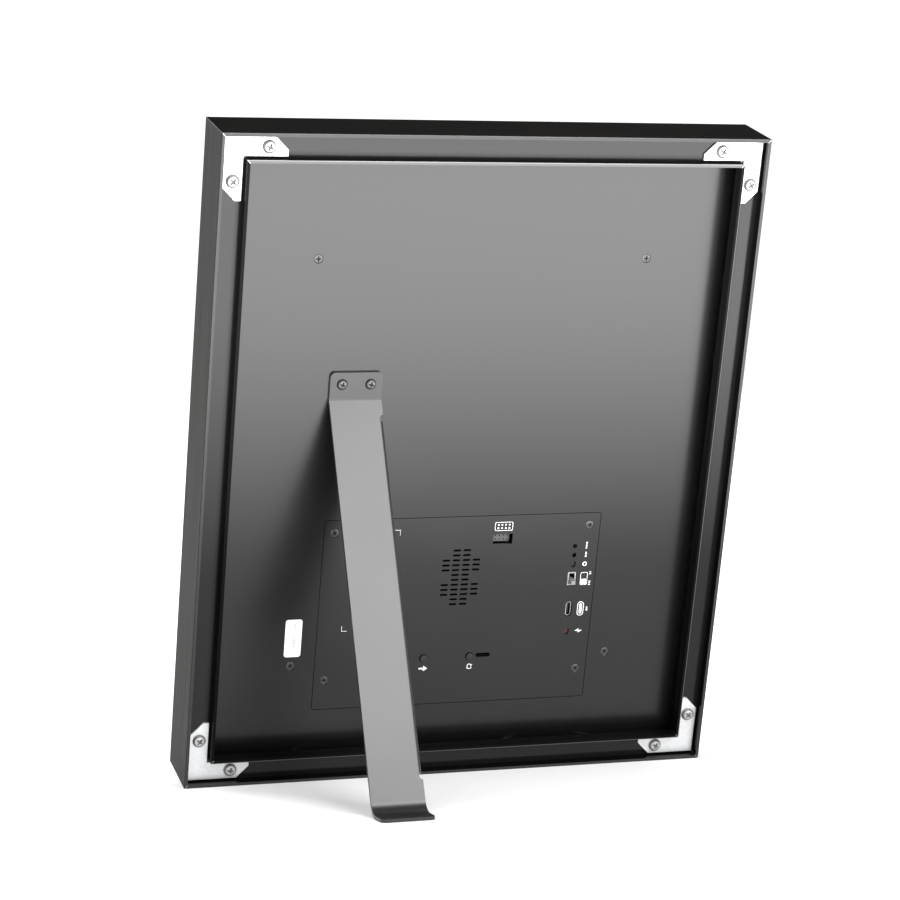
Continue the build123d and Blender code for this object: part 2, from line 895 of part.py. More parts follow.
def flange():
    """Quarter bend and straight flange along one edge of the leg, folded towards the panel."""
    begin, end = flange_span()
    outer = strap_thickness / 2
    side = -strap_width / 2
    inner_radius = max(flange_radius - strap_thickness, 0.2)
    centre = (side + flange_radius, outer - flange_radius)
    ring = Circle(flange_radius) - Circle(inner_radius)
    ring &= Pos(-flange_radius, flange_radius) * Rectangle(2 * flange_radius, 2 * flange_radius)
    bend_part = Pos(*centre) * ring
    straight = Pos(side + (flange_radius - inner_radius) / 2, centre[1] - flange_depth / 2)
    straight *= Rectangle(flange_radius - inner_radius, flange_depth)
    shape = bend_part + straight
    frame = leg_frame()
    down = frame.y_dir
    start = frame.origin + down * (begin + relief_radius * 0.4)
    plane = Plane(origin=start, x_dir=(1, 0, 0), z_dir=down)
    if plane.y_dir.dot(frame.z_dir) < 0:
        shape = mirror(shape, about=Plane.XZ)
    return extrude(plane * shape, amount=end - begin - relief_radius * 0.8)


def stand_screws():
    screws = []
    for count, (x, z) in enumerate(strap_screws):
        screws.append(
            flat_screw(
                strap_screw_radius, strap_head_radius, 8.0, panel_face + strap_thickness, x, z, 15 + 50 * count
            )
        )
    return group(screws)


def stand_backing_plate():
    shape = RectangleRounded(backing_width, backing_height, 2)
    plate = slab(shape, panel_inside - backing_thickness, panel_inside, x=strap_x, z=strap_screw_z)
    for x, z in strap_screws:
        plate -= post(strap_screw_radius + hole_clearance, panel_inside - backing_thickness - 1, panel_face, x, z)
    return plate


# all pieces, then the lean


def all_pieces():
    pieces = {}
    pieces.update(frame_rails())
    pieces.update(corner_plates())
    pieces["corner_plate_screws"] = corner_plate_screws()
    pieces["glazing_pane"] = glazing_pane()
    pieces["mat_board"] = mat_board()
    pieces["display_panel"] = display_panel()
    pieces["display_carrier"] = display_carrier()
    pieces["display_ribbon"] = display_ribbon()
    pieces["driver_board"] = driver_board()
    pieces["pressure_springs"] = pressure_springs()
    pieces["back_panel"] = back_panel()
    pieces["panel_posts"] = panel_posts()
    pieces["back_panel_screws"] = back_panel_screws()
    pieces["cover_seat_ring"] = cover_seat_ring()
    pieces["access_cover"] = access_cover()
    pieces["access_cover_screws"] = access_cover_screws()
    pieces["blank_label"] = blank_label()
    pieces["controller_board"] = controller_board()
    pieces["board_standoffs"] = board_standoffs()
    pieces["board_screws"] = board_screws()
    pieces["usb_c_port"] = usb_c_port()
    pieces["pin_socket"] = pin_socket()
    pieces["power_switch_body"] = power_switch_body()
    pieces["power_switch_knob"] = power_switch_knob()
    for name, x in (("next", next_x), ("refresh", refresh_x)):
        pieces[name + "_button"] = button_cap(x)
        pieces[name + "_button_stem"] = button_stem(x)
        pieces[name + "_switch_body"] = button_switch_body(x)
    for name, z in (("reset", reset_z), ("boot", boot_z)):
        pieces[name + "_plunger"] = stem_plunger(z)
        pieces[name + "_switch_body"] = stem_switch_body(z)
    pieces["status_light_pipe"] = light_pipe(status_z)
    pieces["charge_light_pipe"] = light_pipe(charge_z)
    pieces["indicator_lights"] = indicator_lights()
    pieces["card_socket"] = card_socket()
    pieces["speaker"] = speaker()
    pieces["wireless_module"] = wireless_module()
    pieces["processor_chip"] = processor_chip()
    pieces["battery_pack"] = battery_pack()
    pieces["battery_connector"] = battery_connector()
    pieces["battery_lead"] = battery_lead()
    pieces["stand_leg"] = stand_leg()
    pieces["stand_screws"] = stand_screws()
    pieces["stand_backing_plate"] = stand_backing_plate()
    return pieces


def main():
    os.makedirs("parts", exist_ok=True)
    lean = Pos(0, 0, -rise_of_floor()) * Rot(-lean_angle, 0, 0) * Pos(0, -frame_depth, 0)
    pieces = {name: lean * piece for name, piece in all_pieces().items()}
    boxes = [piece.bounding_box() for piece in pieces.values()]
    front = min(box.min.Y for box in boxes)
    rear = max(box.max.Y for box in boxes)
    for name, piece in pieces.items():
        placed = Pos(0, -(front + rear) / 2, 0) * piece
        export_step(placed, "parts/" + name + ".step")
        print(name, len(placed.solids()), round(placed.volume))


main()
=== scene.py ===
import math

import bpy
from mathutils import Matrix, Vector


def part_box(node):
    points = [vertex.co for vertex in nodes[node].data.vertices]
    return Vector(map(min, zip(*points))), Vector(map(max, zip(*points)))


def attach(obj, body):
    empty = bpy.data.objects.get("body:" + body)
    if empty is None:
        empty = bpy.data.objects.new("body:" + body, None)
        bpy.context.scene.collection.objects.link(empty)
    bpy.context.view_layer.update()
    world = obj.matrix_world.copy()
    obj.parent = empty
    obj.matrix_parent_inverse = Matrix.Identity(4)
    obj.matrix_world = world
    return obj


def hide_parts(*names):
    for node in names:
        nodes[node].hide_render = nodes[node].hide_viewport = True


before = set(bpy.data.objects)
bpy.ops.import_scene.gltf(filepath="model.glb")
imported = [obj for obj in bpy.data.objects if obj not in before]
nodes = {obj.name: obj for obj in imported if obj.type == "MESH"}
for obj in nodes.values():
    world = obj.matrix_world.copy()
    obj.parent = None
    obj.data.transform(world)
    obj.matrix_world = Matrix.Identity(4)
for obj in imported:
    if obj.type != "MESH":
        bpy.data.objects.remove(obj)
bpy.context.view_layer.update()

# The frame leans back on its lower rear edge. Sizes here are millimetres in the frame's own
# upright layout: across from its middle, deep from its front face, rise from its lower edge.
build = {
    "width": 330.0,
    "height": 397.0,
    "depth": 40.0,
    "lean": math.radians(16.7),
    "seatBack": 57.0685,
    "seatUp": 0.0862,
    "panelFace": 24.0,
    "plateFace": 35.0,
    "strapFace": 26.0,
    "channelFace": 33.5,
}
leanCos, leanSin = math.cos(build["lean"]), math.sin(build["lean"])
outward = Vector((0, leanCos, -leanSin))
upward = Vector((0, leanSin, leanCos))


def place(across, deep, rise):  # frame millimetres to metres in the room
    back = deep - build["depth"]
    y = back * leanCos + rise * leanSin - build["seatBack"]
    z = rise * leanCos - back * leanSin - build["seatUp"]
    return Vector((across, y, z)) / 1000


def middleOf(node):  # a node's middle, in frame millimetres
    low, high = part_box(node)
    spot = (Vector(low) + Vector(high)) * 500
    y, z = spot.y + build["seatBack"], spot.z + build["seatUp"]
    return Vector((spot.x, y * leanCos - z * leanSin + build["depth"], y * leanSin + z * leanCos))


def facing(across, deep, rise):  # a millimetre drawing plane: right, up and outwards as seen from behind
    spot = place(across, deep, rise)
    return Matrix((
        (-0.001, 0, 0, spot.x),
        (0, leanSin / 1000, leanCos / 1000, spot.y),
        (0, leanCos / 1000, -leanSin / 1000, spot.z),
        (0, 0, 0, 1),
    ))


def stand(name, data):  # a new object in the scene
    thing = bpy.data.objects.new(name, data)
    bpy.context.scene.collection.objects.link(thing)
    return thing


class Wire:  # a node's output that can be used in sums
    def __init__(self, owner, socket):
        self.owner = owner
        self.socket = socket

    def __add__(self, other):
        return self.owner.maths("ADD", self, other)

    def __radd__(self, other):
        return self.owner.maths("ADD", other, self)

    def __sub__(self, other):
        return self.owner.maths("SUBTRACT", self, other)

    def __rsub__(self, other):
        return self.owner.maths("SUBTRACT", other, self)

    def __mul__(self, other):
        return self.owner.maths("MULTIPLY", self, other)

    def __truediv__(self, other):
        return self.owner.maths("DIVIDE", self, other)

    def __pow__(self, other):
        return self.owner.maths("POWER", self, other)

    def __lt__(self, other):
        return self.owner.maths("LESS_THAN", self, other)

    def __gt__(self, other):
        return self.owner.maths("GREATER_THAN", self, other)

    def __abs__(self):
        return self.owner.maths("ABSOLUTE", self)


class Sheet:  # any node tree under construction
    def __init__(self, tree):
        self.tree = tree

    def add(self, kind, settings=None, sockets=None, out=0):
        node = self.tree.nodes.new(kind)
        for key, value in (settings or {}).items():
            if key == "stops":
                ramp = node.color_ramp
                while len(ramp.elements) < len(value):
                    ramp.elements.new(1.0)
                for element, (position, colour) in zip(ramp.elements, value):
                    element.position = position
                    element.color = colour if isinstance(colour, tuple) else (colour, colour, colour, 1)
            else:
                setattr(node, key, value)
        for key, value in (sockets or {}).items():
            for wire in value if isinstance(value, list) else [value]:
                if isinstance(wire, Wire):
                    self.tree.links.new(wire.socket, node.inputs[key])
                else:
                    node.inputs[key].default_value = wire
        return Wire(self, node.outputs[out])

    def maths(self, operation, *values):
        return self.add("ShaderNodeMath", {"operation": operation}, dict(enumerate(values)))

    def ramp(self, factor, *stops):
        return self.add("ShaderNodeValToRGB", {"stops": stops}, {0: factor})


class Finish(Sheet):  # a material
    def __init__(self, name, **fixed):
        self.material = bpy.data.materials.new(name)
        self.material.use_nodes = True
        super().__init__(self.material.node_tree)
        self.shader = self.tree.nodes["Principled BSDF"]
        for socket, value in fixed.items():
            self.shader.inputs[socket.replace("_", " ")].default_value = value
        self.spot = self.add("ShaderNodeTexCoord", out="Object")

    def along(self, direction, offset=0.0):  # millimetres along a direction
        run = self.add("ShaderNodeVectorMath", {"operation": "DOT_PRODUCT"},
                       {0: self.spot, 1: tuple(1000 * c for c in direction)}, out="Value")
        return run + offset

    def across(self):
        return self.along((1, 0, 0))

    def deep(self):
        back = build["seatBack"] * leanCos - build["seatUp"] * leanSin
        return self.along(outward, back + build["depth"])

    def rise(self):
        return self.along(upward, build["seatBack"] * leanSin + build["seatUp"] * leanCos)

    def join(self, x, y, z):
        return self.add("ShaderNodeCombineXYZ", {}, {0: x, 1: y, 2: z})

    def noise(self, size, spot=None, detail=2.0, rough=0.5, seed=0.0):  # size in the spot's own unit
        return self.add("ShaderNodeTexNoise", {"noise_dimensions": "4D"},
                        {"Vector": spot or self.spot, "W": seed, "Scale": 1.0 / size,
                         "Detail": detail, "Roughness": rough})

    def span(self, value, low, high, toLow=0.0, toHigh=1.0):
        return self.add("ShaderNodeMapRange", {"clamp": True},
                        {"Value": value, "From Min": low, "From Max": high,
                         "To Min": toLow, "To Max": toHigh})

    def mix(self, factor, first, second):
        return self.add("ShaderNodeMix", {"data_type": "RGBA"}, {0: factor, 6: first, 7: second}, out=2)

    def feed(self, socket, wire):
        self.tree.links.new(wire.socket, self.shader.inputs[socket])

    def bump(self, height, depth, strength=1.0):  # depth in metres
        self.feed("Normal", self.add("ShaderNodeBump", {},
                                     {"Strength": strength, "Distance": depth, "Height": height}))


def grey(value, warm=0.0):
    return (value * (1 + warm), value, value * (1 - warm), 1)


railLook = {  # distances in millimetres
    "dark": 0.002,
    "light": 0.009,
    "side": 0.055,  # painted sheen: the upright rails' outer faces are painted paler
    "bare": 0.36,  # metal colour at bare mitres and at painted edge highlights
    "streak": 0.014,  # how much shorter a streak is seen along the rail
    "coarse": 1.5,
    "fine": 0.35,
    "patch": 34.0,
    "rough": 0.16,
    "outerRough": 0.55,
    "edge": (0.28, 0.36),  # where a painted edge highlight fades out
    # painted highlight along the level rails' rear outer arris
    "arris": 0.35,
    "ridge": 15.35,  # outer corner of the channel's inner wall
    "ridgeEdge": (0.26, 0.34),
    "wallOuter": (15.1, 15.2),
    "wallInner": (17.0, 17.2),
    # painted highlights on the top rail's inner wall top and on the inner wall's ridge
    "wallHighlight": 0.25,
    "wear": 0.2,
    "mitre": 0.22,
    "mitreWear": 0.9,
    "rimWidth": 2.5,
    "rim": 0.045,
    "rimMetal": 0.5,
    "flat": 0.03,  # dark shine of the channel's floor
    "flatMetal": 0.78,
    "floorPaintedShade": (11.0, 15.0, 1.0, 0.35),  # painted shade: the floor darkens towards the inner wall
}


def brushedBlack(name, upright):
    look = Finish(name, Specular_IOR_Level=0.05)
    across, deep, rise = look.across(), look.deep(), look.rise()
    middle = build["height"] / 2
    fromSide = build["width"] / 2 - abs(across)
    fromEnd = middle - abs(rise - middle)
    run, side, outer = (rise, across, fromSide) if upright else (across, rise, fromEnd)
    streak = railLook["streak"]
    coarse = look.noise(railLook["coarse"], look.join(side, deep, run * streak), 4.0, 0.62)
    fine = look.noise(railLook["fine"], look.join(side, deep, run * streak * 2), 2.0, 0.6, 4.0)
    patch = look.noise(railLook["patch"], look.join(side, deep * 2.0, run * 0.6), 3.0, 0.5, 8.0)
    grain = look.span(coarse * 0.65 + fine * 0.35, 0.38, 0.64)
    outerFace = outer < 0.2
    strength = outerFace * 0.5 + 0.15
    light = railLook["light"]
    stain = look.mix(look.span(patch, 0.42, 0.62), grey(light), grey(light * 1.4, 0.2))
    body = look.mix(grain * strength, grey(railLook["dark"]), stain)
    rearArris = look.span(build["depth"] - deep, *railLook["edge"], 1.0, 0.0)
    arris = look.span(outer, *railLook["edge"], 1.0, 0.0) * rearArris
    # painted highlight along the ridge of the channel's inner wall, on its rear face
    ridge = look.span(abs(outer - railLook["ridge"]), *railLook["ridgeEdge"], 1.0, 0.0) * rearArris
    ridge = ridge * railLook["wear"]
    # painted highlights: the upright at the right as seen from behind gets the ridge only; the level rails
    # get the rear outer arris, the ridge and the top rail's inner wall top
    if upright:
        edgeHighlights = ridge * (across < 0)
    else:
        wallTop = look.span(outer, *railLook["wallOuter"])
        wallTop = wallTop * look.span(outer, *railLook["wallInner"], 1.0, 0.0) * rearArris
        wallTop = wallTop * (rise > middle) * railLook["wallHighlight"]
        edgeHighlights = look.maths("MAXIMUM", arris * railLook["arris"], ridge + wallTop)
    # bare metal at the mitres, plus the painted edge highlights
    mitre = abs(fromSide - fromEnd) < railLook["mitre"]
    bareAndHighlit = look.maths("MAXIMUM", edgeHighlights, mitre * railLook["mitreWear"])
    # painted sheen: the upright rails' outer faces painted paler
    if upright:
        body = look.mix(outerFace * 0.5, body, grey(railLook["side"], 0.03))
    rim = look.span(deep, build["depth"] - 0.25, build["depth"] - 0.1) * (outer < railLook["rimWidth"])
    inChannel = look.span(abs(deep - build["channelFace"]), 0.05, 0.1, 1.0, 0.0)
    # painted shade: the channel floor darkens towards the inner wall
    shine = inChannel * look.span(outer, *railLook["floorPaintedShade"])
    flat = railLook["flat"]
    body = look.mix(inChannel, body, look.mix(shine, grey(flat * 0.1), grey(flat)))
    # the upright rails' rear outer arris keeps the dark body colour and no metal: a dark hairline
    offUprightArris = 1 - arris if upright else 1.0
    body = look.mix(rim * offUprightArris, body, grey(railLook["rim"]))
    metal = look.maths("MAXIMUM", rim * railLook["rimMetal"], inChannel * railLook["flatMetal"]) * offUprightArris
    look.feed("Base Color", look.mix(bareAndHighlit, body, grey(railLook["bare"], -0.01)))
    look.feed("Metallic", look.maths("MAXIMUM", bareAndHighlit, metal))
    smooth = railLook["rough"] + (grain - 0.4) * 0.30 * strength
    look.feed("Roughness", smooth + outerFace * (railLook["outerRough"] - railLook["rough"]))
    look.bump(coarse * 0.5 + fine, 0.00003, 0.3)
    return look.material


def satinPaint(name, base, rough, index=1.5, peel=0.0006, depth=0.000001, seed=0.0, smudge=0.03):
    look = Finish(name, IOR=index)
    smudges = look.noise(0.05, None, 4.0, 0.6, seed)
    specks = look.noise(0.0011, None, 2.0, 0.7, seed + 3)
    tone = look.span(smudges, 0.3, 0.7) * 0.75 + look.span(specks, 0.3, 0.7) * 0.25
    look.feed("Base Color", look.mix(tone, grey(base * 0.8), grey(base * 1.2, 0.01)))
    look.feed("Roughness", rough + (smudges - 0.5) * smudge * 2 + (specks - 0.5) * 0.01)
    look.bump(look.noise(peel, None, 1.5, 0.5, seed + 7), depth, 0.4)
    return look.material


def plated(name, base, rough, spangle=0.0015, scratch=0.00025, seed=0.0, warm=-0.01, metal=1.0):
    look = Finish(name, Metallic=metal)
    cell = look.add("ShaderNodeTexVoronoi", {"feature": "F1"},
                    {"Vector": look.spot, "Scale": 1.0 / spangle}, out="Color")
    patch = look.add("ShaderNodeSeparateXYZ", {}, {0: cell})
    cloud = look.noise(0.006, None, 3.0, 0.6, seed)
    line = look.noise(scratch, look.join(look.along((1, 0, 0.6)) * 0.04 / 1000,
                                         look.along(outward) / 1000,
                                         look.along((0.6, 0, -1)) / 1000), 2.0, 0.6, seed + 2)
    tone = patch * 0.25 + cloud * 0.5 + line * 0.25
    look.feed("Base Color", look.mix(look.span(tone, 0.3, 0.75), grey(base * 0.86, warm), grey(base, warm)))
    look.feed("Roughness", rough + (cloud - 0.5) * 0.2 + (patch - 0.5) * 0.06)
    look.bump(line, 0.000008, 0.4)
    return look.material


# A plated head with painted shade: darker (low) and less metallic in its recess and at its foot.
def screwHead(name, top, base, metal, seed, low=0.003, shadeMetal=0.0):
    look = Finish(name)
    cloud = look.noise(0.0025, None, 3.0, 0.6, seed)
    fine = look.noise(0.0002, None, 2.0, 0.6, seed + 2)
    onTop = look.span(look.deep(), top - 0.55, top - 0.2)
    plating = look.mix(look.span(cloud * 0.6 + fine * 0.4, 0.35, 0.7), grey(base * 0.75), grey(base * 1.1))
    look.feed("Base Color", look.mix(onTop, grey(low), plating))
    look.feed("Metallic", (onTop * (1 - shadeMetal) + shadeMetal) * metal)
    look.feed("Roughness", 0.62 - onTop * 0.3 + (fine - 0.5) * 0.16)
    look.bump(fine, 0.000006, 0.4)
    return look.material


def moulded(name, colour, rough, grain=0.0003, seed=0.0, shine=0.5):
    look = Finish(name, Specular_IOR_Level=shine)
    fine = look.noise(grain, None, 2.0, 0.6, seed)
    cloud = look.noise(0.004, None, 3.0, 0.55, seed + 5)
    darker = tuple(c * 0.75 for c in colour) + (1,)
    lighter = tuple(c * 1.2 for c in colour) + (1,)
    look.feed("Base Color", look.mix(look.span(cloud * 0.5 + fine * 0.5, 0.3, 0.7), darker, lighter))
    look.feed("Roughness", rough + (fine - 0.5) * 0.16)
    look.bump(fine, 0.000015, 0.4)
    return look.material


def lipped(name, lip, shadedInside, face, lipDepth, metal, seed):  # pale at its outer lip, with painted shade within
    look = Finish(name)
    fine = look.noise(0.0004, None, 2.0, 0.6, seed)
    atLip = look.span(look.deep(), face - lipDepth - 0.1, face - lipDepth)
    tone = look.span(fine, 0.3, 0.7)
    look.feed("Base Color", look.mix(atLip, look.mix(tone, grey(shadedInside * 0.8), grey(shadedInside * 1.2)),
                                     look.mix(tone, grey(lip * 0.88), grey(lip))))
    look.feed("Metallic", atLip * metal)
    look.feed("Roughness", 0.34 + (fine - 0.5) * 0.16)
    look.bump(fine, 0.00001, 0.3)
    return look.material


def card(name, colour, fibre=0.0012, depth=0.00003, seed=0.0):
    look = Finish(name, Specular_IOR_Level=0.3)
    fibres = look.noise(fibre, None, 5.0, 0.65, seed)
    tooth = look.noise(fibre / 5, None, 2.0, 0.6, seed + 1)
    darker = tuple(c * 0.93 for c in colour) + (1,)
    lighter = tuple(min(1, c * 1.02) for c in colour) + (1,)
    look.feed("Base Color", look.mix(look.span(fibres * 0.7 + tooth * 0.3, 0.35, 0.65), darker, lighter))
    look.feed("Roughness", 0.8 + (tooth - 0.5) * 0.15)
    look.bump(fibres + tooth, depth, 0.5)
    return look.material


def clearSheet(name, alpha, rough, tint, seed=0.0):
    look = Finish(name, Coat_Weight=0.3, Coat_Roughness=0.02)
    smear = look.noise(0.03, None, 4.0, 0.65, seed)
    dust = look.noise(0.0009, None, 1.0, 0.5, seed + 1)
    look.feed("Base Color", look.mix(smear, tint, grey(0.9)))
    look.feed("Roughness", rough + look.span(smear, 0.45, 0.8) * 0.08)
    look.feed("Alpha", alpha + look.span(smear, 0.5, 0.8) * 0.03 + look.span(dust, 0.72, 0.8) * 0.1)
    return look.material


pictureLook = {  # millimetres across and up from the frame's lower middle
    "skyFrom": 150,
    "skyTo": 335,
    "sky": [(0.0, (0.78, 0.66, 0.50, 1)), (0.45, (0.62, 0.66, 0.62, 1)), (1.0, (0.30, 0.42, 0.50, 1))],
    "cloud": (0.86, 0.84, 0.78, 1),
    "sunAcross": -42,
    "sunRise": 238,
    "sunRadius": (13.2, 14.0),
    "sun": (0.93, 0.80, 0.55, 1),
    "hills": [  # middle height, swing, breadth, colour, seed
        (205, 46, 70, (0.42, 0.50, 0.50, 1), 1.0),
        (178, 50, 55, (0.29, 0.38, 0.36, 1), 5.0),
        (143, 48, 45, (0.20, 0.27, 0.20, 1), 9.0),
        (108, 40, 60, (0.12, 0.16, 0.12, 1), 13.0),
    ],
    "sunlit": 1.6,  # how much paler the open ground is than the woods
}


def picture(name):  # a made-up hill view in soft printed tones
    look = Finish(name, Specular_IOR_Level=0.25)
    across, rise = look.across(), look.rise()
    view = look.ramp(look.span(rise, pictureLook["skyFrom"], pictureLook["skyTo"]), *pictureLook["sky"])
    cloud = look.noise(60, look.join(across * 0.5, rise * 1.6, 0.0), 5.0, 0.6, 2.0)
    view = look.mix(look.span(cloud, 0.5, 0.72) * 0.55, view, pictureLook["cloud"])
    sun = look.maths("SQRT", (across - pictureLook["sunAcross"]) ** 2 + (rise - pictureLook["sunRise"]) ** 2)
    view = look.mix(look.span(sun, *pictureLook["sunRadius"], 1.0, 0.0), view, pictureLook["sun"])
    for height, swing, breadth, colour, seed in pictureLook["hills"]:
        ridge = look.noise(breadth, look.join(across, 0.0, 0.0), 4.0, 0.5, seed)
        crest = height + (ridge - 0.5) * swing * 2
        texture = look.noise(9, look.join(across, rise * 2.2, 0.0), 4.0, 0.65, seed)
        paler = tuple(min(1, c * pictureLook["sunlit"]) for c in colour[:3]) + (1,)
        ground = look.mix(look.span(texture, 0.3, 0.75), colour, paler)
        view = look.mix(look.span(rise - crest, -0.25, 0.25, 1.0, 0.0), view, ground)
    grain = look.noise(0.35, look.join(across, rise, 0.0), 0.0, 0.5, 3.0)
    look.feed("Base Color", look.mix(look.span(grain, 0.35, 0.65) * 0.18, view, grey(0.62, 0.02)))
    look.feed("Roughness", 0.55 + (grain - 0.5) * 0.2)
    look.bump(grain, 0.00001, 0.3)
    return look.material


def solderBoard(name):  # dark solder mask with raised tracks and plated holes
    look = Finish(name, Coat_Weight=0.35, Coat_Roughness=0.15)
    plan = look.join(look.across(), look.rise(), 0.0)
    cell = look.add("ShaderNodeTexVoronoi", {"feature": "DISTANCE_TO_EDGE"}, {"Vector": plan, "Scale": 0.35},
                    out="Distance")
    dots = look.add("ShaderNodeTexVoronoi", {"feature": "F1"}, {"Vector": plan, "Scale": 0.5}, out="Distance")
    track = look.span(cell, 0.02, 0.06, 1.0, 0.0)
    via = dots < 0.16
    mask = look.mix(track, (0.004, 0.014, 0.010, 1), (0.007, 0.026, 0.018, 1))
    look.feed("Base Color", look.mix(via, mask, (0.62, 0.52, 0.30, 1)))
    look.feed("Metallic", via * 0.9)
    look.feed("Roughness", 0.38 - track * 0.06)
    look.bump(track + via * 0.5, 0.00003, 0.5)
    return look.material


finishes = {
    "uprightRail": brushedBlack("blackRailUpright", True),
    "levelRail": brushedBlack("blackRailLevel", False),
    "panel": satinPaint("panelSatinBlack", 0.004, 0.24),
    "cover": satinPaint("coverSatinBlack", 0.004, 0.25, seed=11.0),
    "inner": satinPaint("innerSatinBlack", 0.010, 0.40, seed=19.0),
    "leg": satinPaint("legSatinBlack", 0.014, 0.33, 1.52, depth=0.000004, seed=23.0),
    "button": satinPaint("buttonSatinBlack", 0.008, 0.26, seed=29.0),
    "panelScrew": screwHead("blackenedPanelScrew", 24.0, 0.07, 0.6, 31.0),
    "standScrew": screwHead("blackenedStandScrew", 27.5, 0.09, 0.6, 33.0),
    "boardScrew": plated("boardScrewPlating", 0.5, 0.3, seed=35.0),
    "zinc": plated("brightZincPlate", 0.80, 0.40, seed=37.0, metal=0.7),
    "zincScrew": screwHead("brightZincScrew", 37.2, 0.52, 0.8, 41.0, 0.16, 0.3),
    "spring": plated("springSteelStrip", 0.55, 0.28, seed=43.0),
    "nickel": lipped("nickelShell", 0.70, 0.012, 22.9, 0.35, 1.0, 47.0),
    "plainNickel": plated("nickelParts", 0.66, 0.24, seed=49.0),
    "gold": plated("goldContact", 0.62, 0.25, seed=53.0, warm=0.35),
    "can": plated("tinnedCan", 0.70, 0.34, seed=59.0),
    "plastic": moulded("blackMoulding", (0.008, 0.008, 0.009), 0.45),
    # near-black moulding; on the cover_seat_ring it is a painted shade darkening the gap round the cover
    "blackAndGapShade": moulded("mattBlackMoulding", (0.0015, 0.0015, 0.0016), 0.75, seed=2.0, shine=0.1),
    "switchShell": lipped("paleSwitchMoulding", 0.30, 0.012, 23.6, 0.22, 0.0, 3.0),
    "socketShell": lipped("greySocketMoulding", 0.07, 0.001, 20.7, 0.15, 0.0, 5.0),
    "knob": moulded("greyKnobMoulding", (0.20, 0.20, 0.21), 0.38, seed=7.0),
    "chip": moulded("chipMoulding", (0.03, 0.03, 0.032), 0.5, seed=9.0),
    "film": moulded("amberFilm", (0.55, 0.26, 0.05), 0.3, seed=13.0),
    "pouch": moulded("batteryPouch", (0.42, 0.43, 0.46), 0.32, seed=15.0),
    "sleeve": moulded("leadSleeve", (0.5, 0.03, 0.02), 0.45, seed=17.0),
    "smokedGuide": moulded("smokedLightGuide", (0.003, 0.003, 0.0035), 0.3, seed=19.0),
    "redGuide": moulded("redLightGuide", (0.055, 0.004, 0.005), 0.22, seed=21.0),
    "glass": clearSheet("frontGlass", 0.05, 0.02, (0.80, 0.90, 0.86, 1), 3.0),
    "matCard": card("whiteMatCard", (0.88, 0.87, 0.83)),
    "foam": card("foamBoard", (0.86, 0.86, 0.84), 0.003, 0.00006, 5.0),
    "label": card("labelPaper", (0.93, 0.93, 0.92), 0.0008, 0.00001, 8.0),
    "ink": card("whitePrintInk", (0.80, 0.80, 0.80), 0.0006, 0.000008, 12.0),
    "greyInk": card("greyPrintInk", (0.30, 0.30, 0.30), 0.0006, 0.000008, 14.0),
    "picture": picture("picturePaper"),
    "board": solderBoard("darkGreenBoard"),
}
print("finishes:", len(finishes))

wearing = {
    "uprightRail": ["frame_rail_left", "frame_rail_right"],
    "levelRail": ["frame_rail_top", "frame_rail_bottom"],
    "panel": ["back_panel"],
    "cover": ["access_cover"],
    "inner": ["panel_posts", "stand_backing_plate"],
    # cover_seat_ring: near-black to darken the gap round the cover, a painted shade
    "blackAndGapShade": ["card_socket", "cover_seat_ring", "speaker", "reset_plunger", "boot_plunger"],
    "leg": ["stand_leg"],
    "button": ["next_button", "refresh_button"],
    "panelScrew": ["back_panel_screws", "access_cover_screws"],
    "standScrew": ["stand_screws"],
    "boardScrew": ["board_screws"],
    "zinc": ["corner_plate_top_left", "corner_plate_top_right", "corner_plate_bottom_left",
             "corner_plate_bottom_right"],
    "zincScrew": ["corner_plate_screws"],
    "spring": ["pressure_springs"],
    "nickel": ["usb_c_port"],
    "plainNickel": ["board_standoffs"],
    "can": ["wireless_module"],
    "plastic": ["reset_switch_body", "boot_switch_body", "next_switch_body", "refresh_switch_body",
                "battery_connector", "next_button_stem", "refresh_button_stem"],
    "switchShell": ["power_switch_body"],
    "socketShell": ["pin_socket"],
    "knob": ["power_switch_knob"],
    "chip": ["processor_chip"],
    "film": ["display_ribbon"],
    "pouch": ["battery_pack"],
    "sleeve": ["battery_lead"],
    "smokedGuide": ["status_light_pipe", "indicator_lights"],
    "redGuide": ["charge_light_pipe"],
    "glass": ["glazing_pane"],
    "matCard": ["mat_board"],
    "foam": ["display_carrier"],
    "label": ["blank_label"],
    "picture": ["display_panel"],
    "board": ["controller_board", "driver_board"],
}
dressed = []
for finish, wearers in wearing.items():
    for wearer in wearers:
        for slot in nodes[wearer].material_slots:
            slot.material = finishes[finish]
        dressed.append(wearer)
print("dressed nodes:", len(dressed), "left bare:", sorted(set(nodes) - set(dressed)))


class Pattern(Sheet):  # a Geometry Nodes tree with named inputs, in millimetres
    def __init__(self, name, sizes):
        super().__init__(bpy.data.node_groups.new(name, "GeometryNodeTree"))
        face = self.tree.interface
        face.new_socket("Geometry", in_out="INPUT", socket_type="NodeSocketGeometry")
        for label, value in sizes.items():
            kind = "NodeSocketInt" if isinstance(value, int) else "NodeSocketFloat"
            face.new_socket(label, in_out="INPUT", socket_type=kind).default_value = value
        face.new_socket("Finish", in_out="INPUT", socket_type="NodeSocketMaterial")
        face.new_socket("Geometry", in_out="OUTPUT", socket_type="NodeSocketGeometry")
        self.entry = self.tree.nodes.new("NodeGroupInput")

    def take(self, label):
        return Wire(self, self.entry.outputs[label])

    def point(self, x=0.0, y=0.0, z=0.0):
        return self.add("ShaderNodeCombineXYZ", {}, {0: x, 1: y, 2: z})

    def shift(self, mesh, offset, selection=True):
        return self.add("GeometryNodeSetPosition", {},
                        {"Geometry": mesh, "Offset": offset, "Selection": selection})

    def finish(self, mesh):  # every tree ends the same way
        real = self.add("GeometryNodeRealizeInstances", {}, {0: mesh})
        dressed = self.add("GeometryNodeSetMaterial", {}, {"Geometry": real, "Material": self.take("Finish")})
        self.tree.links.new(dressed.socket, self.tree.nodes.new("NodeGroupOutput").inputs["Geometry"])
        return self.tree


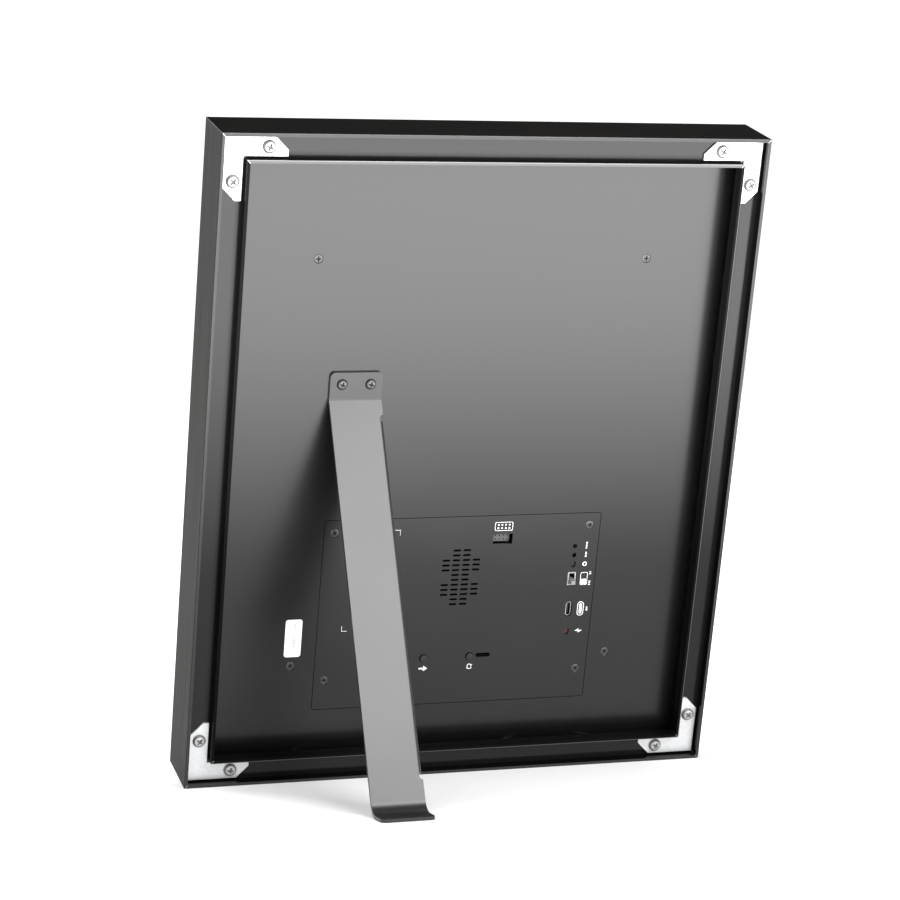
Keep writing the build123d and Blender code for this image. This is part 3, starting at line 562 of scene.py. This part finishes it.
def crossScrewPattern():  # a screw with a domed head and a cross recess at each point
    plan = Pattern("crossScrews", {"Head radius": 3.9, "Head height": 2.2, "Round": 0.7, "Sink": 0.0,
                                   "Recess reach": 2.1, "Recess depth": 1.5, "Shank radius": 1.9,
                                   "Shank length": 6.0, "Seed": 1})
    radius, height = plan.take("Head radius"), plan.take("Head height")
    reach, depth = plan.take("Recess reach"), plan.take("Recess depth")
    head = plan.add("GeometryNodeMeshCylinder", {"fill_type": "NGON"},
                    {"Vertices": 40, "Side Segments": 2, "Fill Segments": 9,
                     "Radius": radius, "Depth": height})
    spot = plan.add("GeometryNodeInputPosition")
    flatSpot = plan.add("ShaderNodeVectorMath", {"operation": "MULTIPLY"}, {0: spot, 1: (1, 1, 0)})
    fromMiddle = plan.add("ShaderNodeVectorMath", {"operation": "LENGTH"}, {0: flatSpot}, out="Value")
    level = plan.add("ShaderNodeSeparateXYZ", {}, {0: spot}, out="Z")
    fall = (fromMiddle / radius) ** 5 * height * plan.take("Round")
    head = plan.shift(head, plan.point(z=fall * -1), level > height * 0.49)
    head = plan.shift(head, plan.point(z=height / 2))
    bars = []
    for wide, high in ((2, 0.5), (0.5, 2)):
        size = plan.point(reach * wide, reach * high, height * 8)
        bars.append(plan.add("GeometryNodeMeshCube", {}, {"Size": size}))
    cross = plan.add("GeometryNodeMeshBoolean", {"operation": "UNION", "solver": "EXACT"}, {"Mesh 2": bars})
    taper = plan.add("GeometryNodeMeshCone", {"fill_type": "NGON"},
                     {"Vertices": 24, "Radius Top": reach * 1.15, "Radius Bottom": reach * 0.35,
                      "Depth": depth * 1.3})
    taper = plan.shift(taper, plan.point(z=height - depth))
    tool = plan.add("GeometryNodeMeshBoolean", {"operation": "INTERSECT", "solver": "EXACT"},
                    {"Mesh 2": [cross, taper]})
    sink = plan.maths("MAXIMUM", plan.take("Sink"), 0.02)
    skirt = plan.add("GeometryNodeMeshCone", {"fill_type": "NGON"},
                     {"Vertices": 40, "Radius Top": radius * 0.99, "Radius Bottom": plan.take("Shank radius"),
                      "Depth": sink})
    skirt = plan.shift(skirt, plan.point(z=sink * -1 + 0.01))
    length = plan.take("Shank length")
    shank = plan.add("GeometryNodeMeshCylinder", {"fill_type": "NGON"},
                     {"Vertices": 24, "Radius": plan.take("Shank radius"), "Depth": length})
    shank = plan.shift(shank, plan.point(z=length * -0.5 - 0.01))
    blank = plan.add("GeometryNodeMeshBoolean", {"operation": "UNION", "solver": "EXACT"},
                     {"Mesh 2": [head, skirt, shank]})
    whole = plan.add("GeometryNodeMeshBoolean", {"operation": "DIFFERENCE", "solver": "EXACT"},
                     {"Mesh 1": blank, "Mesh 2": [tool]})
    turn = plan.add("FunctionNodeRandomValue", {"data_type": "FLOAT_VECTOR"},
                    {"Min": (0, 0, 0), "Max": (0, 0, math.tau), "Seed": plan.take("Seed")})
    placed = plan.add("GeometryNodeInstanceOnPoints", {},
                      {"Points": plan.take("Geometry"), "Instance": whole, "Rotation": turn})
    return plan.finish(placed)


def contactPattern():  # a grid of small contact leaves about each point
    plan = Pattern("contactGrid", {"Columns": 4, "Rows": 2, "Column pitch": 2.54, "Row pitch": 2.54,
                                   "Leaf width": 0.3, "Leaf height": 0.5, "Leaf length": 2.0})
    columns, rows = plan.take("Columns"), plan.take("Rows")
    grid = plan.add("GeometryNodeMeshGrid", {},
                    {"Size X": (columns - 1) * plan.take("Column pitch"), "Vertices X": columns,
                     "Size Y": (rows - 1) * plan.take("Row pitch"), "Vertices Y": rows})
    size = plan.point(plan.take("Leaf width"), plan.take("Leaf height"), plan.take("Leaf length"))
    leaf = plan.add("GeometryNodeMeshCube", {},
                    {"Size": size, "Vertices X": 2, "Vertices Y": 2, "Vertices Z": 3})
    spread = plan.add("GeometryNodeInstanceOnPoints", {}, {"Points": grid, "Instance": leaf})
    placed = plan.add("GeometryNodeInstanceOnPoints", {},
                      {"Points": plan.take("Geometry"), "Instance": spread})
    return plan.finish(placed)


def grow(name, tree, spots, sizes, finish, replaced=None):  # spots in frame millimetres
    points = bpy.data.meshes.new(name + "Spots")
    points.from_pydata([(-spot.x, spot.z, spot.y) for spot in spots], [], [])
    host = stand(name + "Spots", points)
    pattern = host.modifiers.new("pattern", "NODES")
    pattern.node_group = tree
    for item in tree.interface.items_tree:
        if item.in_out == "INPUT" and item.name in sizes:
            pattern[item.identifier] = sizes[item.name]
        if item.in_out == "INPUT" and item.name == "Finish":
            pattern[item.identifier] = finishes[finish]
    bpy.context.view_layer.update()
    mesh = bpy.data.meshes.new_from_object(host.evaluated_get(bpy.context.evaluated_depsgraph_get()))
    host.modifiers.remove(pattern)
    bpy.data.objects.remove(host)
    mesh.name = name
    mesh.transform(facing(0, 0, 0))
    mesh.shade_smooth()
    mesh.set_sharp_from_angle(angle=math.radians(32))
    piece = stand(name, mesh)
    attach(piece, "frame_body")
    if replaced:
        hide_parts(replaced)
    print(name, "faces:", len(mesh.polygons))


def spotsOf(node, deep, apart=9.0):  # the middle of each separate screw in a node
    groups = []
    for vertex in nodes[node].data.vertices:
        y, z = vertex.co.y * 1000 + build["seatBack"], vertex.co.z * 1000 + build["seatUp"]
        spot = Vector((vertex.co.x * 1000, deep, y * leanSin + z * leanCos))
        for group in groups:
            if (group[0] - spot).length < apart:
                group.append(spot)
                break
        else:
            groups.append([spot])
    middles = []
    for group in groups:
        low = [min(spot[axis] for spot in group) for axis in range(3)]
        high = [max(spot[axis] for spot in group) for axis in range(3)]
        middles.append((Vector(low) + Vector(high)) / 2)
    return middles


flushScrew = {"Head radius": 2.5, "Head height": 0.35, "Round": 0.6, "Sink": 1.0,
              "Recess reach": 1.7, "Recess depth": 1.1, "Shank radius": 1.45}
flushSeat = build["panelFace"] - flushScrew["Head height"]
screws = {  # node: seat, finish, slot and what differs from the tree's own sizes
    "corner_plate_screws": (build["plateFace"], "zincScrew", "bright_zinc",
                            {"Recess reach": 2.3, "Seed": 4}),
    "stand_screws": (build["strapFace"], "standScrew", "black_screws",
                     {"Head radius": 3.2, "Head height": 1.5, "Round": 0.8, "Recess reach": 1.8,
                      "Recess depth": 1.1, "Shank length": 5.0, "Seed": 7}),
    "back_panel_screws": (flushSeat, "panelScrew", "black_screws", {**flushScrew, "Seed": 12}),
    "access_cover_screws": (flushSeat, "panelScrew", "black_screws", {**flushScrew, "Seed": 15}),
}
crossScrews = crossScrewPattern()
for node, (seat, finish, slotName, sizes) in screws.items():
    words = node.split("_")
    name = words[0] + "".join(word.title() for word in words[1:])
    grow(name, crossScrews, spotsOf(node, seat), sizes, finish, node)

contacts = {  # node, depth of the leaves' middles and what differs from the tree's own sizes
    "pinSocketContacts": ("pin_socket", 18.6, {}),
    "chargingContacts": ("usb_c_port", 19.6,
                         {"Columns": 2, "Rows": 12, "Column pitch": 0.72, "Row pitch": 0.5,
                          "Leaf width": 0.05, "Leaf height": 0.24, "Leaf length": 4.0}),
}
contactGrid = contactPattern()
for name, (node, deep, sizes) in contacts.items():
    middle = middleOf(node)
    grow(name, contactGrid, [Vector((middle.x, deep, middle.z))], sizes, "gold")

# Printed marks on the service cover: plain ticks and signs, no words.
ink = {"thickness": 0.04, "above": 0.005}


def roundedBox(width, height, radius, centre=(0, 0), steps=6):
    points = []
    for corner, (sx, sy) in enumerate(((1, 1), (-1, 1), (-1, -1), (1, -1))):
        for step in range(steps + 1):
            angle = math.pi / 2 * (corner + step / steps)
            points.append((sx * (width / 2 - radius) + radius * math.cos(angle) + centre[0],
                           sy * (height / 2 - radius) + radius * math.sin(angle) + centre[1]))
    return points


def disc(radius, centre=(0, 0), steps=28):
    return [(centre[0] + radius * math.cos(math.tau * k / steps),
             centre[1] + radius * math.sin(math.tau * k / steps)) for k in range(steps)]


def arcBand(inner, outer, start, end, steps=24):
    angles = [math.radians(start + (end - start) * k / steps) for k in range(steps + 1)]
    out = [(outer * math.cos(a), outer * math.sin(a)) for a in angles]
    back = [(inner * math.cos(a), inner * math.sin(a)) for a in reversed(angles)]
    return out + back


def ticks(count, height, pitch, width=0.5):  # a short row of plain ticks, one above the other
    middle = (count - 1) / 2
    return [roundedBox(height * (0.8 if k % 2 else 1.0), width, 0.12, (0, (k - middle) * pitch), 3)
            for k in range(count)]


def cornerMark(reach, line, sign):  # an open corner, arms along -sign
    far, near = reach * sign, line * sign
    return [[(-far, 0), (0, 0), (0, -far), (-near, -far), (-near, -near), (-far, -near)]]


def flatPiece(name, outlines, across, rise, above=0.0, finish="ink"):
    curve = bpy.data.curves.new(name, "CURVE")
    curve.dimensions = "2D"
    curve.fill_mode = "BOTH"
    curve.extrude = ink["thickness"] / 2
    for outline in outlines:
        spline = curve.splines.new("POLY")
        spline.points.add(len(outline) - 1)
        for point, (x, y) in zip(spline.points, outline):
            point.co = (x, y, 0, 1)
        spline.use_cyclic_u = True
    drawing = stand(name + "Drawing", curve)
    bpy.context.view_layer.update()
    mesh = bpy.data.meshes.new_from_object(drawing.evaluated_get(bpy.context.evaluated_depsgraph_get()))
    bpy.data.objects.remove(drawing)
    deep = build["panelFace"] + above + ink["above"] + ink["thickness"] / 2
    mesh.transform(facing(across, deep, rise))
    mesh.name = name
    mesh.materials.clear()
    mesh.materials.append(finishes[finish])
    piece = stand(name, mesh)
    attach(piece, "frame_body")


cover = middleOf("access_cover")
resetSpot, bootSpot = middleOf("reset_plunger"), middleOf("boot_plunger")
statusSpot, chargeSpot = middleOf("status_light_pipe"), middleOf("charge_light_pipe")
knobSpot, usbSpot = middleOf("power_switch_body"), middleOf("usb_c_port")
nextSpot, refreshSpot = middleOf("next_button"), middleOf("refresh_button")
pinSpot = middleOf("pin_socket")
pinDots = [disc(0.55, (column * 2.3 - 3.45, row * 2.1 - 1.05), 12) for column in range(4) for row in range(2)]
marks = {  # outlines, across, rise
    "markReset": (ticks(5, 1.1, 0.92), resetSpot.x - 7.6, resetSpot.z + 0.3),
    "markBoot": (ticks(4, 1.1, 0.92), bootSpot.x - 7.6, bootSpot.z + 0.3),
    "markRing": ([disc(1.4), disc(0.85)], statusSpot.x - 7.4, statusSpot.z),
    "markSwitch": ([roundedBox(4.6, 8.2, 0.9), roundedBox(4.0, 7.6, 0.65),
                    roundedBox(3.2, 3.2, 0.4, (0, -1.9))], knobSpot.x - 7.8, knobSpot.z),
    "markOn": (ticks(2, 1.4, 1.1), knobSpot.x - 11.7, knobSpot.z + 3.6),
    "markOff": (ticks(3, 1.4, 1.1), knobSpot.x - 11.7, knobSpot.z - 3.0),
    "markPort": ([roundedBox(4.2, 9.3, 2.05), roundedBox(3.4, 8.5, 1.65), roundedBox(1.7, 6.6, 0.8)],
                 usbSpot.x - 7.6, usbSpot.z + 0.1),
    "markPortTicks": (ticks(3, 1.2, 0.95), usbSpot.x - 11.7, usbSpot.z - 0.1),
    "markBolt": ([[(-2.3, -0.15), (0.15, 1.35), (0.05, 0.25), (2.5, 0.15), (-0.1, -1.45), (0.0, -0.35)]],
                 chargeSpot.x - 7.6, chargeSpot.z + 0.2),
    "markArrow": ([[(-2.75, -0.5), (0.1, -0.5), (0.1, -1.75), (2.75, 0), (0.1, 1.75), (0.1, 0.5),
                    (-2.75, 0.5)]], nextSpot.x - 0.2, nextSpot.z - 6.9),
    "markTurn": ([arcBand(1.3, 1.7, 30, 165), [(1.9, 1.3), (1.05, -0.25), (0.55, 1.1)],
                  arcBand(1.3, 1.7, 210, 345), [(-1.9, -1.3), (-1.05, 0.25), (-0.55, -1.1)]],
                 refreshSpot.x - 0.4, refreshSpot.z - 6.9),
    "markHeader": ([roundedBox(11.4, 5.6, 0.9), roundedBox(10.8, 5.0, 0.65)] + pinDots,
                   pinSpot.x, pinSpot.z + 8.1),
    "markCornerHigh": (cornerMark(3.4, 0.22, 1), cover.x + 39.8, cover.z + 53.4),
    "markCornerLow": (cornerMark(3.4, 0.22, -1), cover.x + 72.0, cover.z - 10.4),
}
for name, (outlines, across, rise) in marks.items():
    flatPiece(name, outlines, across, rise)
label = middleOf("blank_label")
flatPiece("markLabel", ticks(11, 1.7, 1.35, 0.55), label.x - 0.6, label.z + 1.5, 0.2, "greyInk")
print("printed marks:", len(marks) + 1)

room = {  # metres
    "floorSize": 16.0,
    "floorTone": 0.90,
    "glow": 6.0,  # the light table behind, seen in the paint
    "glowRear": (0.14, 0.44),
    "glowAside": (0.30, 0.50),
    "glowFront": (-0.12, -0.05, 0.10, 0.0),
    "glowFar": (0.6, 1.6, 0.0, 0.17),
    "skyStops": [(0.0, 1.15), (0.12, 1.15), (0.42, 0.16), (1.0, 0.16)],
}
half = room["floorSize"] / 2
floorMesh = bpy.data.meshes.new("floor")
floorMesh.from_pydata([(-half, -half, 0), (half, -half, 0), (half, half, 0), (-half, half, 0)], [],
                      [(0, 1, 2, 3)])
table = Finish("paleLightTable", Specular_IOR_Level=0.2, Emission_Strength=room["glow"])
paper = table.noise(0.02, None, 4.0, 0.6)
table.feed("Base Color", table.mix(paper, grey(room["floorTone"] * 0.99), grey(room["floorTone"] * 1.01)))
table.feed("Roughness", 0.6 + (paper - 0.5) * 0.1)
aside = table.add("ShaderNodeSeparateXYZ", {}, {0: table.spot}, out="X")
behind = table.add("ShaderNodeSeparateXYZ", {}, {0: table.spot}, out="Y")
away = table.add("ShaderNodeVectorMath", {"operation": "LENGTH"}, {0: table.spot}, out="Value")
rear = table.span(behind, *room["glowRear"]) * table.span(aside, *room["glowAside"], 1.0, 0.0)
around = table.maths("MAXIMUM", table.span(behind, *room["glowFront"]), table.span(away, *room["glowFar"]))
table.feed("Emission Color", table.mix(table.maths("MAXIMUM", rear, around), grey(0.02), grey(1.0)))
floorMesh.materials.append(table.material)
floor = stand("floor", floorMesh)

world = bpy.data.worlds.new("studio")
world.use_nodes = True
bpy.context.scene.world = world
sky = Sheet(world.node_tree)
direction = sky.add("ShaderNodeTexCoord", out="Generated")
level = sky.add("ShaderNodeSeparateXYZ", {}, {0: direction}, out="Z")
glow = sky.ramp(level, *room["skyStops"])
sky.tree.links.new(glow.socket, sky.tree.nodes["Background"].inputs["Color"])


def aimed(towards):  # the turn that points a lamp along a direction
    return Vector(towards).to_track_quat("-Z", "Y").to_euler()


panelLight = {"energy": 1.3, "spread": 45.0, "towards": (-0.5, -0.42, -0.76)}
sunLamp = bpy.data.lights.new("highPanelLight", "SUN")
sunLamp.energy, sunLamp.angle = panelLight["energy"], math.radians(panelLight["spread"])
sun = stand("highPanelLight", sunLamp)
sun.rotation_euler = aimed(panelLight["towards"])
sun.visible_glossy = False

lamps = {  # place, aimed at, size, power, seen in glossy faces
    "rearSoftbox": ((-0.48, 1.42, 1.02), (0.06, 0.1, 0.12), (1.0, 0.9), 36.0, True),
    "frontSoftbox": ((1.6, -1.3, 0.9), (0.0, 0.0, 0.2), (1.2, 1.2), 26.0, False),
}
for name, (spot, aim, size, power, glossy) in lamps.items():
    lamp = bpy.data.lights.new(name, "AREA")
    lamp.shape = "RECTANGLE"
    lamp.size, lamp.size_y = size
    lamp.energy = power
    holder = stand(name, lamp)
    holder.location = spot
    holder.rotation_euler = aimed(Vector(aim) - Vector(spot))
    holder.visible_camera = False
    holder.visible_glossy = glossy

shot = {
    "spot": (0.54158, 1.59685, 0.27909),
    "turn": (87.3131, 0.4652, 161.7664),
    "lens": 114.738,
    "sensor": 36.0,
    "clip": (0.05, 60.0),
}
camera = bpy.data.cameras.new("camera")
camera.sensor_width, camera.lens = shot["sensor"], shot["lens"]
camera.clip_start, camera.clip_end = shot["clip"]
tripod = stand("camera", camera)
tripod.location = shot["spot"]
tripod.rotation_euler = [math.radians(angle) for angle in shot["turn"]]
bpy.context.scene.camera = tripod
bpy.context.scene.view_settings.view_transform = "Standard"
print("room, lamps and camera in place")
